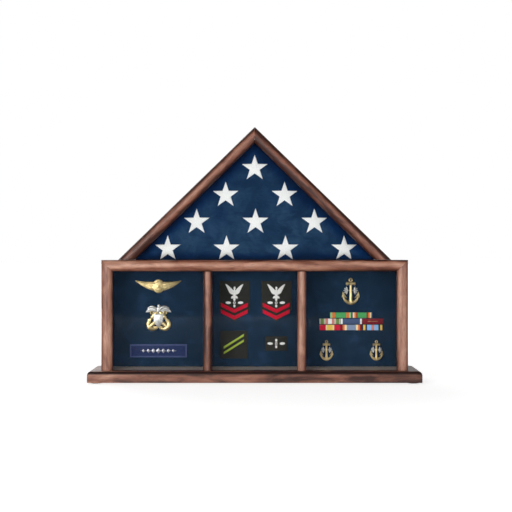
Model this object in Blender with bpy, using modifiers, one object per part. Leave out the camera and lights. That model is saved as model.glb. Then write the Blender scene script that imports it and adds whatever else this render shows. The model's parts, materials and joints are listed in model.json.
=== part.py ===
"""Folded flag display case.

A triangular glazed case for a folded flag stands on a wide, low glazed case with three bays
of mounted insignia, and both stand on one moulded base board.  Both cases open at the back,
where loose panels are held by brass turn buttons.

Metres, +Z up.  The glass faces -Y, +X is to the right as the case is looked at, and the
origin is under the middle of the base, on the surface that the feet stand on.
"""
import math

import bmesh
import bpy
from mathutils import Vector

INCH = 0.0254
GAP = 0.0003                     # clearance between pieces that touch

# Base board and feet
BASE_WIDTH = 22 * INCH
BASE_DEPTH = 0.110
BASE_THICKNESS = 0.75 * INCH
BASE_ROUND = 0.0065
FOOT_RADIUS = 0.009
FOOT_THICKNESS = 0.0012
FOOT_MARGIN = 0.014              # foot centre to the base's edges

# Lower case
CASE_WIDTH = 20.3 * INCH
CASE_HEIGHT = 0.1857
CASE_DEPTH = 0.086
BOARD = 0.010                    # thickness of the case boards
PARTITION = 0.008
MULLION_X = 0.079                # centre of a mullion and of the partition behind it

# Triangular flag case
FLAG_WIDTH = 18.1 * INCH
FLAG_HEIGHT = 0.2238

# Half-round mouldings
MOULDING_WIDTH = 0.0192
MULLION_WIDTH = 0.0152
MOULDING_DEPTH = 0.012
MOULDING_EDGE = 0.0035           # depth of the square edge under the round
ARC_STEPS = 14

# Glass, beads, panels and mounting boards
GLASS = 0.0025
BEAD = 0.006
FLAG_BEAD = 0.003
PANEL = 0.004
PANEL_CLEARANCE = 0.0006
VELVET_BOARD = 0.012
FLAG_ROUND = 0.006
FLAG_CLEARANCE = 0.002
FLAG_BACK_CLEARANCE = 0.004

# Turn buttons and screws
BUTTON_WIDTH = 0.008
BUTTON_THICKNESS = 0.0016
BUTTON_REACH = 0.018             # pivot to tip, one-ended buttons
DOUBLE_REACH = 0.015             # pivot to either tip, two-ended buttons
BUTTON_HOLE = 0.0021
SCREW_SHANK = 0.0015
SCREW_HEAD = 0.0031
HOLE_CLEARANCE = 0.0004
BASE_SCREW_LENGTH = 0.034
BASE_SCREW_MIDDLE = 0.006        # y midway between the front and rear base screws
BASE_SCREW_SPREAD = 0.026
BASE_SCREW_HEAD = 0.0038
PILOT_LENGTH = 0.030             # half of it is in the board, half clear of its edge
BUTTON_SCREW_LENGTH = 0.012

# Heights and depths that follow from the sizes above
BASE_BOTTOM = FOOT_THICKNESS + GAP
BASE_TOP = BASE_BOTTOM + BASE_THICKNESS
CASE_TOP = BASE_TOP + CASE_HEIGHT
APEX = CASE_TOP + FLAG_HEIGHT
CASE_SIDE = CASE_WIDTH / 2
INNER_SIDE = CASE_SIDE - BOARD
INNER_TOP = CASE_TOP - BOARD
FRONT = -CASE_DEPTH / 2
BACK = CASE_DEPTH / 2
BOARD_FRONT = FRONT + MOULDING_DEPTH + GAP
GLASS_BACK = BOARD_FRONT + GLASS
BEHIND_GLASS = GLASS_BACK + GAP
PANEL_BACK = BACK - GAP
PANEL_FRONT = PANEL_BACK - PANEL
VELVET_BACK = PANEL_FRONT - GAP
VELVET_FRONT = VELVET_BACK - VELVET_BOARD
BUTTON_FRONT = BACK + GAP
BUTTON_BACK = BUTTON_FRONT + BUTTON_THICKNESS
SLOPE = math.atan2(FLAG_WIDTH / 2, FLAG_HEIGHT)      # a sloping wall's angle from the vertical

# Colour (linear), roughness, metallic, alpha
LOOKS = {
    "walnut": ((0.20, 0.095, 0.060), 0.35, 0.0, 1.0),
    "hardboard": ((0.16, 0.09, 0.05), 0.7, 0.0, 1.0),
    "glass": ((0.90, 0.95, 0.95), 0.02, 0.0, 0.25),
    "felt": ((0.03, 0.03, 0.03), 0.95, 0.0, 1.0),
    "velvet": ((0.010, 0.022, 0.045), 0.9, 0.0, 1.0),
    "flag": ((0.006, 0.020, 0.070), 0.8, 0.0, 1.0),
    "brass": ((0.72, 0.50, 0.20), 0.3, 1.0, 1.0),
    "gold": ((0.83, 0.62, 0.25), 0.3, 1.0, 1.0),
    "steel": ((0.60, 0.60, 0.60), 0.3, 1.0, 1.0),
    "plate": ((0.05, 0.06, 0.14), 0.3, 0.0, 1.0),
    "cloth": ((0.022, 0.022, 0.020), 0.9, 0.0, 1.0),
    "ribbon": ((0.30, 0.10, 0.06), 0.7, 0.0, 1.0),
}


# --- helpers ---------------------------------------------------------------------------------

def clear_scene():
    for thing in list(bpy.data.objects):
        bpy.data.objects.remove(thing, do_unlink=True)


def new_collection(name):
    collection = bpy.data.collections.new(name)
    bpy.context.scene.collection.children.link(collection)
    return collection


def paint(thing, look):
    colour, roughness, metallic, alpha = LOOKS[look]
    material = bpy.data.materials.new(thing.name)
    material.use_nodes = True
    shader = material.node_tree.nodes["Principled BSDF"]
    shader.inputs["Base Color"].default_value = (*colour, 1.0)
    shader.inputs["Roughness"].default_value = roughness
    shader.inputs["Metallic"].default_value = metallic
    shader.inputs["Alpha"].default_value = alpha
    thing.data.materials.append(material)


def place(name, data, look, location=(0, 0, 0), turn_y=0.0, turn_x=0.0):
    """Add an object to the model, tipped about X first and then turned about Y."""
    thing = bpy.data.objects.new(name, data)
    thing.location = location
    thing.rotation_mode = "ZXY"
    thing.rotation_euler = (turn_x, turn_y, 0.0)
    PARTS.objects.link(thing)
    paint(thing, look)
    bpy.context.view_layer.update()
    return thing


def mesh_from(bm, name):
    mesh = bpy.data.meshes.new(name)
    bm.to_mesh(mesh)
    bm.free()
    return mesh


def box(name, x, y, z, look):
    """A block between two values of x, y and z, with its origin at its centre."""
    bm = bmesh.new()
    bmesh.ops.create_cube(bm, size=1.0)
    size = (x[1] - x[0], y[1] - y[0], z[1] - z[0])
    bmesh.ops.scale(bm, vec=size, verts=bm.verts)
    centre = ((x[0] + x[1]) / 2, (y[0] + y[1]) / 2, (z[0] + z[1]) / 2)
    return place(name, mesh_from(bm, name), look, centre)


def flat_curve(name, outlines, thickness):
    """Closed outlines filled in their own plane; inner outlines are holes."""
    curve = bpy.data.curves.new(name, "CURVE")
    curve.dimensions = "2D"
    curve.fill_mode = "BOTH"
    curve.extrude = thickness / 2
    for outline in outlines:
        spline = curve.splines.new("POLY")
        spline.points.add(len(outline) - 1)
        for point, (a, b) in zip(spline.points, outline):
            point.co = (a, b, 0.0, 1.0)
        spline.use_cyclic_u = True
    return curve


def to_mesh(thing):
    """Turn a curve object into a closed mesh object that can be cut."""
    evaluated = thing.evaluated_get(bpy.context.evaluated_depsgraph_get())
    mesh = bpy.data.meshes.new_from_object(evaluated)
    bm = bmesh.new()
    bm.from_mesh(mesh)
    bmesh.ops.remove_doubles(bm, verts=bm.verts, dist=0.00001)
    bmesh.ops.recalc_face_normals(bm, faces=bm.faces)
    bm.to_mesh(mesh)
    bm.free()
    name = thing.name
    thing.name = name + "_outline"
    solid = bpy.data.objects.new(name, mesh)
    solid.matrix_world = thing.matrix_world
    PARTS.objects.link(solid)
    bpy.data.objects.remove(thing, do_unlink=True)
    bpy.context.view_layer.update()
    return solid


def upright(name, outlines, y, look):
    """A flat shape whose outline (x, z) faces the front, between two values of y."""
    curve = flat_curve(name, outlines, y[1] - y[0])
    return place(name, curve, look, (0, (y[0] + y[1]) / 2, 0), turn_x=math.pi / 2)


def trim(thing, point, normal):
    """Cut a solid with a plane and take away the side that the normal points to."""
    inverse = thing.matrix_world.inverted()
    bm = bmesh.new()
    bm.from_mesh(thing.data)
    cut = bmesh.ops.bisect_plane(
        bm,
        geom=bm.verts[:] + bm.edges[:] + bm.faces[:],
        plane_co=inverse @ Vector(point),
        plane_no=inverse.to_3x3() @ Vector(normal),
        clear_outer=True,
    )
    rim = [item for item in cut["geom_cut"] if isinstance(item, bmesh.types.BMEdge)]
    bmesh.ops.holes_fill(bm, edges=rim)
    bmesh.ops.recalc_face_normals(bm, faces=bm.faces)
    bm.to_mesh(thing.data)
    bm.free()


def half_round(name, width, length, centre, turn_y):
    """A moulding with a square edge and a round front, running along its own Z."""
    rise = MOULDING_DEPTH - MOULDING_EDGE
    outline = [(-width / 2, MOULDING_DEPTH / 2), (width / 2, MOULDING_DEPTH / 2)]
    for step in range(ARC_STEPS + 1):
        angle = math.pi * step / ARC_STEPS
        across = width / 2 * math.cos(angle)
        outline.append((across, MOULDING_DEPTH / 2 - MOULDING_EDGE - rise * math.sin(angle)))
    curve = flat_curve(name, [outline], length)
    return to_mesh(place(name, curve, "walnut", centre, turn_y=turn_y))


def shade_round(thing, angle=math.radians(35)):
    thing.data.shade_smooth()
    thing.data.set_sharp_from_angle(angle=angle)


def drill(board, point, axis, radius, depth, sides=16):
    """A hole: a hidden cylinder of this length, centred on the point, cut from the board."""
    cutter_name = f"{board.name}_hole_{len(board.modifiers)}"
    bm = bmesh.new()
    bmesh.ops.create_cone(
        bm, cap_ends=True, segments=sides, radius1=radius, radius2=radius, depth=depth
    )
    cutter = bpy.data.objects.new(cutter_name, mesh_from(bm, cutter_name))
    cutter.location = point
    cutter.rotation_euler = (math.pi / 2, 0, 0) if axis == "Y" else (0, 0, 0)
    hide_cutter(cutter)
    subtract(board, cutter)


def hide_cutter(cutter):
    cutter.hide_render = True
    cutter.display_type = "WIRE"
    CUTTERS.objects.link(cutter)


def subtract(thing, cutter):
    modifier = thing.modifiers.new(cutter.name, "BOOLEAN")
    modifier.operation = "DIFFERENCE"
    modifier.solver = "EXACT"
    modifier.object = cutter


def turned(name, profile, look, location, turn_x=0.0, steps=20):
    """A turned piece: a profile of (radius, height) points spun about its own Z."""
    mesh = bpy.data.meshes.new(name)
    points = [(radius, 0.0, height) for radius, height in profile]
    edges = [(i, i + 1) for i in range(len(points) - 1)]
    mesh.from_pydata(points, edges, [])
    thing = place(name, mesh, look, location, turn_x=turn_x)
    spin = thing.modifiers.new("spin", "SCREW")
    spin.axis = "Z"
    spin.angle = 2 * math.pi
    spin.steps = steps
    spin.render_steps = steps
    spin.use_merge_vertices = True
    spin.merge_threshold = 0.00001
    return thing


def screw(name, location, head_height, length, turn_x, head_radius=SCREW_HEAD, countersunk=False):
    """A slotted wood screw whose head's underside is at the location, pointing down its -Z."""
    tip = 0.003
    if countersunk:
        profile = [
            (0.0, 0.0), (head_radius, 0.0), (head_radius, -0.0004), (SCREW_SHANK, -head_height),
        ]
        slot_top = 0.0
    else:
        profile = [
            (0.0, head_height), (head_radius * 0.6, head_height * 0.92),
            (head_radius * 0.9, head_height * 0.6), (head_radius, 0.0), (SCREW_SHANK, 0.0),
        ]
        slot_top = head_height
    profile += [(SCREW_SHANK, tip - length), (0.0, -length)]
    thing = turned(name, profile, "brass", location, turn_x)
    bm = bmesh.new()
    bmesh.ops.create_cube(bm, size=1.0)
    bmesh.ops.scale(bm, vec=(head_radius * 2.4, 0.0009, 0.0018), verts=bm.verts)
    bmesh.ops.translate(bm, vec=(0, 0, slot_top), verts=bm.verts)
    cutter = bpy.data.objects.new(name + "_slot", mesh_from(bm, name + "_slot"))
    cutter.location = location
    cutter.rotation_euler = (turn_x, 0, 0)
    hide_cutter(cutter)
    subtract(thing, cutter)
    return thing


def arc(centre, radius, start, stop, steps):
    """Points along an arc; the angles are in degrees, anticlockwise from +X."""
    points = []
    for step in range(steps + 1):
        angle = math.radians(start + (stop - start) * step / steps)
        points.append((centre[0] + radius * math.cos(angle), centre[1] + radius * math.sin(angle)))
    return points


def both_halves(half, centre, width, height):
    """A symmetric outline from its right half, listed from top to bottom, in unit sizes."""
    right = [(centre[0] + a * width / 2, centre[1] + b * height / 2) for a, b in half]
    left = [(2 * centre[0] - a, b) for a, b in reversed(right) if a - centre[0] > 0.00001]
    return right + left


# --- base ------------------------------------------------------------------------------------

def build_base():
    base = box(
        "base_board",
        (-BASE_WIDTH / 2, BASE_WIDTH / 2),
        (-BASE_DEPTH / 2, BASE_DEPTH / 2),
        (BASE_BOTTOM, BASE_TOP),
        "walnut",
    )
    round_base_edges(base)
    for side_name, side in (("left", -1), ("right", 1)):
        for end_name, end in (("front", -1), ("rear", 1)):
            x = side * (CASE_SIDE - BOARD / 2)
            y = BASE_SCREW_MIDDLE + end * BASE_SCREW_SPREAD
            foot_x = side * (BASE_WIDTH / 2 - FOOT_MARGIN)
            foot_y = end * (BASE_DEPTH / 2 - FOOT_MARGIN)
            build_foot(f"felt_foot_{end_name}_{side_name}", foot_x, foot_y)
            build_base_screw(f"base_screw_{end_name}_{side_name}", base, x, y)
    return base


def round_base_edges(base):
    """Round over the top edges at the front and the two ends, and ease the front corners."""
    bm = bmesh.new()
    bm.from_mesh(base.data)
    half = BASE_THICKNESS / 2
    chosen = []
    for edge in bm.edges:
        middle = (edge.verts[0].co + edge.verts[1].co) / 2
        on_top = abs(middle.z - half) < 0.0001
        at_back = abs(middle.y - BASE_DEPTH / 2) < 0.0001
        if on_top and not at_back:
            chosen.append(edge)
    bmesh.ops.bevel(
        bm, geom=chosen, offset=BASE_ROUND, segments=6, profile=0.5, affect="EDGES",
        clamp_overlap=True,
    )
    bm.to_mesh(base.data)
    bm.free()
    shade_round(base)


def build_foot(name, x, y):
    bm = bmesh.new()
    bmesh.ops.create_cone(
        bm, cap_ends=True, segments=28, radius1=FOOT_RADIUS, radius2=FOOT_RADIUS,
        depth=FOOT_THICKNESS,
    )
    place(name, mesh_from(bm, name), "felt", (x, y, FOOT_THICKNESS / 2))


def build_base_screw(name, base, x, y):
    """A countersunk screw up through the base into the end grain of a side board."""
    head = BASE_SCREW_HEAD
    depth = 0.0024
    sunk = BASE_BOTTOM + 0.001
    drill(base, (x, y, (BASE_BOTTOM + BASE_TOP) / 2), "Z", 0.0022, BASE_THICKNESS * 1.2)
    drill(base, (x, y, BASE_BOTTOM + 0.0015), "Z", head + HOLE_CLEARANCE, 0.0042)
    screw(name, (x, y, sunk), depth, BASE_SCREW_LENGTH, math.pi, head, countersunk=True)


# --- lower case ------------------------------------------------------------------------------

def build_case_boards():
    low = BASE_TOP + GAP
    for name, side in (("left", -1), ("right", 1)):
        x = sorted((side * CASE_SIDE, side * INNER_SIDE))
        board = box(
            f"case_side_{name}", x, (BOARD_FRONT, BACK), (low, INNER_TOP - GAP), "walnut"
        )
        for end in (-1, 1):
            y = BASE_SCREW_MIDDLE + end * BASE_SCREW_SPREAD
            hole = (side * (CASE_SIDE - BOARD / 2), y, low)
            drill(board, hole, "Z", SCREW_SHANK + HOLE_CLEARANCE, BASE_SCREW_LENGTH * 1.1)
        drill(board, side_button_place(side), "Y", SCREW_SHANK + HOLE_CLEARANCE, PILOT_LENGTH)
        middle = side * MULLION_X
        box(
            f"partition_{name}",
            (middle - PARTITION / 2, middle + PARTITION / 2),
            (BEHIND_GLASS, VELVET_BACK),
            (low, INNER_TOP - GAP),
            "walnut",
        )
    top = box(
        "case_top_board", (-CASE_SIDE, CASE_SIDE), (BOARD_FRONT, BACK), (INNER_TOP, CASE_TOP),
        "walnut",
    )
    for side in (-1, 1):
        drill(top, top_button_place(side), "Y", SCREW_SHANK + HOLE_CLEARANCE, PILOT_LENGTH)


def build_case_front():
    """Two stiles and a top rail, mitred together, and two mullions butted under the rail."""
    low = BASE_TOP + GAP
    front_middle = FRONT + MOULDING_DEPTH / 2
    height = CASE_TOP - low
    for name, side in (("left", -1), ("right", 1)):
        edge = side * CASE_SIDE
        centre = (edge - side * MOULDING_WIDTH / 2, front_middle, (low + CASE_TOP) / 2)
        stile = half_round(f"stile_{name}", MOULDING_WIDTH, height, centre, 0.0)
        trim(stile, (edge - side * GAP / 2, 0, CASE_TOP - GAP / 2), (-side, 0, 1))
        shade_round(stile)
        mullion_top = CASE_TOP - MOULDING_WIDTH - GAP
        centre = (side * MULLION_X, front_middle, (low + mullion_top) / 2)
        mullion = half_round(f"mullion_{name}", MULLION_WIDTH, mullion_top - low, centre, 0.0)
        shade_round(mullion)
    centre = (0, front_middle, CASE_TOP - MOULDING_WIDTH / 2)
    rail = half_round("top_rail", MOULDING_WIDTH, CASE_WIDTH, centre, math.pi / 2)
    for side in (-1, 1):
        trim(rail, (side * (CASE_SIDE - GAP / 2), 0, CASE_TOP + GAP / 2), (side, 0, -1))
    shade_round(rail)


def build_case_glass():
    low = BASE_TOP + GAP
    high = INNER_TOP - GAP
    reach = INNER_SIDE - GAP
    box("front_glass", (-reach, reach), (BOARD_FRONT, GLASS_BACK), (low, high), "glass")
    for name, side in (("left", -1), ("right", 1)):
        x = sorted((side * reach, side * (reach - BEAD)))
        box(f"glass_bead_{name}", x, (BEHIND_GLASS, BEHIND_GLASS + BEAD), (low, high), "walnut")


def build_case_back():
    """The loose back panel and the three velvet-covered boards that it carries."""
    low = BASE_TOP + PANEL_CLEARANCE + GAP
    high = INNER_TOP - PANEL_CLEARANCE - GAP
    reach = INNER_SIDE - PANEL_CLEARANCE
    box("case_back_panel", (-reach, reach), (PANEL_FRONT, PANEL_BACK), (low, high), "hardboard")
    inner = MULLION_X - PARTITION / 2 - PANEL_CLEARANCE
    outer = MULLION_X + PARTITION / 2 + PANEL_CLEARANCE
    bays = {"left": (-reach, -outer), "centre": (-inner, inner), "right": (outer, reach)}
    for name, x in bays.items():
        box(f"velvet_board_{name}", x, (VELVET_FRONT, VELVET_BACK), (low, high), "velvet")


# --- triangular flag case --------------------------------------------------------------------

def triangle(inset, bottom):
    """Corners (x, z) of the flag case's triangle, moved in from its outer faces."""
    top = APEX - inset / math.sin(SLOPE)
    reach = (top - bottom) * math.tan(SLOPE)
    return [(-reach, bottom), (reach, bottom), (0.0, top)]


def sloping_strip(side, outer_inset, inner_inset, bottom):
    """Outline of a strip along one sloping wall, mitred at the apex."""
    outer = triangle(outer_inset, bottom)
    inner = triangle(inner_inset, bottom)
    slant = GAP / 2 / math.tan(SLOPE)
    return [
        (side * outer[1][0], bottom),
        (side * GAP / 2, outer[2][1] - slant),
        (side * GAP / 2, inner[2][1] - slant),
        (side * inner[1][0], bottom),
    ]


def build_flag_case():
    low = CASE_TOP + GAP
    front_middle = FRONT + MOULDING_DEPTH / 2
    run = (APEX - CASE_TOP) / math.cos(SLOPE)
    for name, side in (("left", -1), ("right", 1)):
        strip = sloping_strip(side, 0.0, BOARD, low)
        curve = upright(f"flag_wall_{name}", [strip], (BOARD_FRONT, BACK), "walnut")
        wall = to_mesh(curve)
        drill(wall, slope_button_place(side), "Y", SCREW_SHANK + HOLE_CLEARANCE, PILOT_LENGTH)
        strip = sloping_strip(side, BOARD + GAP, BOARD + GAP + FLAG_BEAD, low)
        upright(
            f"flag_bead_{name}", [strip], (BEHIND_GLASS, BEHIND_GLASS + FLAG_BEAD), "walnut"
        )
        middle_x = side * (FLAG_WIDTH / 4 - MOULDING_WIDTH / 2 * math.cos(SLOPE))
        middle_z = (CASE_TOP + APEX) / 2 - MOULDING_WIDTH / 2 * math.sin(SLOPE)
        moulding = half_round(
            f"flag_moulding_{name}", MOULDING_WIDTH, run * 1.2,
            (middle_x, front_middle, middle_z), -side * SLOPE,
        )
        trim(moulding, (side * GAP / 2, 0, 0), (-side, 0, 0))
        trim(moulding, (0, 0, low), (0, 0, -1))
        shade_round(moulding)
    pane = triangle(BOARD + GAP, low)
    upright("flag_glass", [pane], (BOARD_FRONT, GLASS_BACK), "glass")
    panel = triangle(BOARD + PANEL_CLEARANCE, low + PANEL_CLEARANCE)
    upright("flag_back_panel", [panel], (PANEL_FRONT, PANEL_BACK), "hardboard")


def build_flag():
    """The folded flag: a plump triangular packet that fills its case."""
    packet = triangle(BOARD + FLAG_CLEARANCE, CASE_TOP + 2 * GAP)
    depth = (GLASS_BACK + 3 * GAP, PANEL_FRONT - FLAG_BACK_CLEARANCE)
    flag = to_mesh(upright("folded_flag", [packet], depth, "flag"))
    soften = flag.modifiers.new("soft edges", "BEVEL")
    soften.width = FLAG_ROUND
    soften.segments = 3
    soften.limit_method = "ANGLE"
    shade_round(flag)


# --- turn buttons ----------------------------------------------------------------------------

def side_button_place(side):
    return (side * (CASE_SIDE - BOARD / 2), BACK, BASE_TOP + CASE_HEIGHT * 0.45)


def top_button_place(side):
    return (side * CASE_SIDE * 0.5, BACK, CASE_TOP - BOARD / 2)


def slope_button_place(side):
    along = 0.52
    x = side * (FLAG_WIDTH / 2 * (1 - along) - BOARD / 2 * math.cos(SLOPE))
    z = CASE_TOP + FLAG_HEIGHT * along - BOARD / 2 * math.sin(SLOPE)
    return (x, BACK, z)


def button_outline(reach, tail):
    """A bar with round ends, its pivot at (0, 0), longer towards -Z than towards +Z."""
    radius = BUTTON_WIDTH / 2
    lower = arc((0, radius - reach), radius, 180, 360, 8)
    upper = arc((0, tail - radius), radius, 0, 180, 8)
    return lower + upper


def build_button(name, pivot, reach, tail, turn_y):
    thickness = BUTTON_THICKNESS
    hole = arc((0, 0), BUTTON_HOLE, 0, 337.5, 15)
    curve = flat_curve(f"turn_button_{name}", [button_outline(reach, tail), hole], thickness)
    middle = (pivot[0], BUTTON_FRONT + thickness / 2, pivot[2])
    place(curve.name, curve, "brass", middle, turn_y=turn_y, turn_x=math.pi / 2)
    head_seat = BUTTON_BACK + GAP
    screw(
        f"button_screw_{name}", (pivot[0], head_seat, pivot[2]), 0.0014, BUTTON_SCREW_LENGTH,
        -math.pi / 2,
    )


def build_buttons():
    """Turn buttons, all turned clear of the panels."""
    short_tail = BUTTON_WIDTH / 2 + 0.001
    for name, side in (("left", -1), ("right", 1)):
        build_button(f"side_{name}", side_button_place(side), BUTTON_REACH, short_tail, 0.0)
        build_button(
            f"top_{name}", top_button_place(side), DOUBLE_REACH, DOUBLE_REACH, math.pi / 2
        )
        build_button(
            f"flag_{name}", slope_button_place(side), BUTTON_REACH, short_tail, -side * SLOPE
        )


# --- insignia --------------------------------------------------------------------------------

def mounted(thickness):
    """Front and back (y) of something flat that lies on a velvet board."""
    back = VELVET_FRONT - GAP
    return (back - thickness, back)


def badge(name, centre, width, height, half, thickness, look):
    outline = both_halves(half, centre, width, height)
    return upright(name, [outline], mounted(thickness), look)


ANCHOR_HALF = [
    (0.0, 1.0), (0.17, 0.95), (0.21, 0.82), (0.10, 0.68), (0.72, 0.64), (0.72, 0.52),
    (0.11, 0.48), (0.11, -0.58), (0.52, -0.46), (0.66, -0.22), (1.0, -0.05), (0.98, -0.38),
    (0.80, -0.72), (0.42, -0.94), (0.0, -1.0),
]
WING_HALF = [
    (0.0, 1.0), (0.13, 0.86), (0.23, 0.48), (0.45, 0.62), (1.0, 0.72), (0.90, 0.22),
    (0.62, -0.22), (0.25, -0.36), (0.15, -0.80), (0.0, -1.0),
]
CREST_HALF = [
    (0.0, 1.0), (0.13, 0.72), (0.45, 0.86), (1.0, 0.42), (0.82, 0.10), (0.90, -0.28),
    (0.78, -0.82), (0.44, -1.0), (0.0, -0.72),
]
RATING_HALF = [(0.0, 1.0), (1.0, 1.0), (1.0, -0.42), (0.0, -1.0)]
SQUARE_HALF = [(0.0, 1.0), (1.0, 1.0), (1.0, -1.0), (0.0, -1.0)]


def build_insignia():
    left_bay = -0.1666
    right_bay = 0.1671
    badge("wings_badge", (left_bay, 0.1606), 0.080, 0.0245, WING_HALF, 0.0022, "gold")
    badge("crest_badge", (left_bay, 0.1068), 0.0455, 0.0475, CREST_HALF, 0.0030, "steel")
    badge("name_plate", (left_bay, 0.0489), 0.0990, 0.0230, SQUARE_HALF, 0.0016, "plate")
    for name, x in (("left", -0.0347), ("right", 0.0377)):
        badge(f"rating_badge_{name}", (x, 0.1345), 0.0530, 0.0700, RATING_HALF, 0.0014, "cloth")
    badge("stripe_patch", (-0.0357, 0.0595), 0.0480, 0.0480, SQUARE_HALF, 0.0014, "cloth")
    badge("propeller_patch", (0.0372, 0.0615), 0.0385, 0.0250, SQUARE_HALF, 0.0014, "cloth")
    badge("anchor_large", (right_bay - 0.001, 0.1516), 0.0300, 0.0470, ANCHOR_HALF, 0.003, "gold")
    for name, offset in (("left", -0.0430), ("right", 0.0435)):
        centre = (right_bay + offset, 0.0494)
        badge(f"anchor_{name}", centre, 0.0240, 0.0360, ANCHOR_HALF, 0.0025, "gold")
    for name, bars, z in (("upper", 2, 0.1105), ("middle", 3, 0.0998), ("lower", 3, 0.0892)):
        width = bars * 0.0370
        badge(f"ribbon_row_{name}", (right_bay, z), width, 0.0095, SQUARE_HALF, 0.0022, "ribbon")


# --- build -----------------------------------------------------------------------------------

clear_scene()
PARTS = new_collection("folded_flag_display_case")
CUTTERS = new_collection("cutters")
build_base()
build_case_boards()
build_case_front()
build_case_glass()
build_case_back()
build_flag_case()
build_flag()
build_buttons()
build_insignia()
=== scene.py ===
"""Looks of the folded flag display case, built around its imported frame.

Metres, +Z up, and the case's front faces -Y.
"""
import json
import math

import bmesh
import bpy
from mathutils import Matrix, Vector, noise
from mathutils.bvhtree import BVHTree


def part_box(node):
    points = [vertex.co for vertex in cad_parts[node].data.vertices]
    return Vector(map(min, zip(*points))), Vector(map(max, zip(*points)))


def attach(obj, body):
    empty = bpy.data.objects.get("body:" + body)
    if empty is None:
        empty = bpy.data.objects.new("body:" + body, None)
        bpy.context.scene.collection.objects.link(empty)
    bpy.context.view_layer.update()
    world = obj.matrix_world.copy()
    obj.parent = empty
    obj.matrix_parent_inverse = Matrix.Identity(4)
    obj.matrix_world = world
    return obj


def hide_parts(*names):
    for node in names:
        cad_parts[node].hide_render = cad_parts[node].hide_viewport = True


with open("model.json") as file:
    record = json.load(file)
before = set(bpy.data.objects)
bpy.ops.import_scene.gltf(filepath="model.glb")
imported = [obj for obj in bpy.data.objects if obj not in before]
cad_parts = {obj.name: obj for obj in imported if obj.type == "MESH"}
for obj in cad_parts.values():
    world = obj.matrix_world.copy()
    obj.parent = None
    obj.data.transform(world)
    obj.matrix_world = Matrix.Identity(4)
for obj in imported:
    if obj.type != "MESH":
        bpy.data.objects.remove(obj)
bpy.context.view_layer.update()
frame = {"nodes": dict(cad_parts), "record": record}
NODES = frame["nodes"]


# --- camera, lights and floor ---

CAMERA_DISTANCE = 2.0434       # from the front of the mouldings
CAMERA_HEIGHT = 0.2129
CAMERA_SIDE = 0.0022           # to the right of the case's middle
CAMERA_LENS = 85.8             # millimetres, on a sensor 36 mm wide

LIGHTS_AIM = (0.0, 0.0, 0.18)
FLOOR_RADIUS = 30.0

# Area lights: name, place, size, watts and colour
LIGHTS = [
    ("key", (-1.15, -2.05, 0.38), (0.95, 0.90), 27.0, (1.0, 0.975, 0.95)),
    ("fill", (1.2, -2.05, 0.16), (0.90, 0.90), 13.0, (0.95, 0.97, 1.0)),
    ("front", (0.0, -2.2, 0.12), (1.1, 0.5), 13.0, (0.96, 0.98, 1.0)),
    ("rear", (-0.9, 2.4, 1.7), (2.0, 1.0), 20.0, (1.0, 1.0, 1.0)),
]
UNMIRRORED_LIGHT = "front"


def build_camera():
    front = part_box("top_rail")[0].y
    data = bpy.data.cameras.new("camera")
    data.lens = CAMERA_LENS
    data.sensor_width = 36.0
    camera = bpy.data.objects.new("camera", data)
    camera.location = (CAMERA_SIDE, front - CAMERA_DISTANCE, CAMERA_HEIGHT)
    camera.rotation_euler = (math.pi / 2, 0.0, 0.0)
    bpy.context.scene.collection.objects.link(camera)
    bpy.context.scene.camera = camera


def build_light(name, place, size, power, colour):
    data = bpy.data.lights.new(name, "AREA")
    data.shape = "RECTANGLE"
    data.size, data.size_y = size
    data.energy = power
    data.color = colour
    light = bpy.data.objects.new(name, data)
    light.location = place
    light.rotation_euler = (Vector(LIGHTS_AIM) - Vector(place)).to_track_quat("-Z", "Y").to_euler()
    light.visible_glossy = name != UNMIRRORED_LIGHT
    bpy.context.scene.collection.objects.link(light)


def build_studio():
    for light in LIGHTS:
        build_light(*light)
    build_world()
    build_floor()


def build_world():
    """White in front of and behind the case, dim beside and above it; mirrored, the front is dark."""
    world = bpy.data.worlds.new("studio")
    bpy.context.scene.world = world
    world.use_nodes = True
    tree = world.node_tree
    tree.nodes.clear()
    toward = split(tree, add(tree, "TexCoord").outputs["Generated"])
    depth = ramp(tree, weighted(tree, 0.5, (toward["Y"], 0.5)), [
        (0.0, grey(1.0)), (0.20, grey(0.75)), (0.45, grey(0.25)), (0.75, grey(0.95)),
    ])
    height = ramp(tree, toward["Z"], [(0.12, grey(1.0)), (0.70, grey(0.16))])
    side = ramp(tree, weighted(tree, 0.5, (toward["X"], -0.5)), [
        (0.0, (0.50, 0.50, 0.52)), (1.0, (1.0, 0.98, 0.96)),
    ])
    light = multiplied(tree, multiplied(tree, depth, height), side)
    card = ramp(tree, maths(tree, "MULTIPLY", toward["Y"], -1.0), [(0.45, grey(1.0)), (0.85, grey(0.06))])
    path = add(tree, "LightPath").outputs
    light = mixed(tree, path["Is Glossy Ray"], light, multiplied(tree, light, card))
    lit = add(tree, "Background", {"Color": light, "Strength": 1.2})
    seen = add(tree, "Background", {"Color": grey(1.0), "Strength": 1.0})
    mix = add(tree, "MixShader", {0: path["Is Camera Ray"], 1: lit.outputs[0], 2: seen.outputs[0]})
    add(tree, "OutputWorld", {"Surface": mix.outputs[0]})


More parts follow.
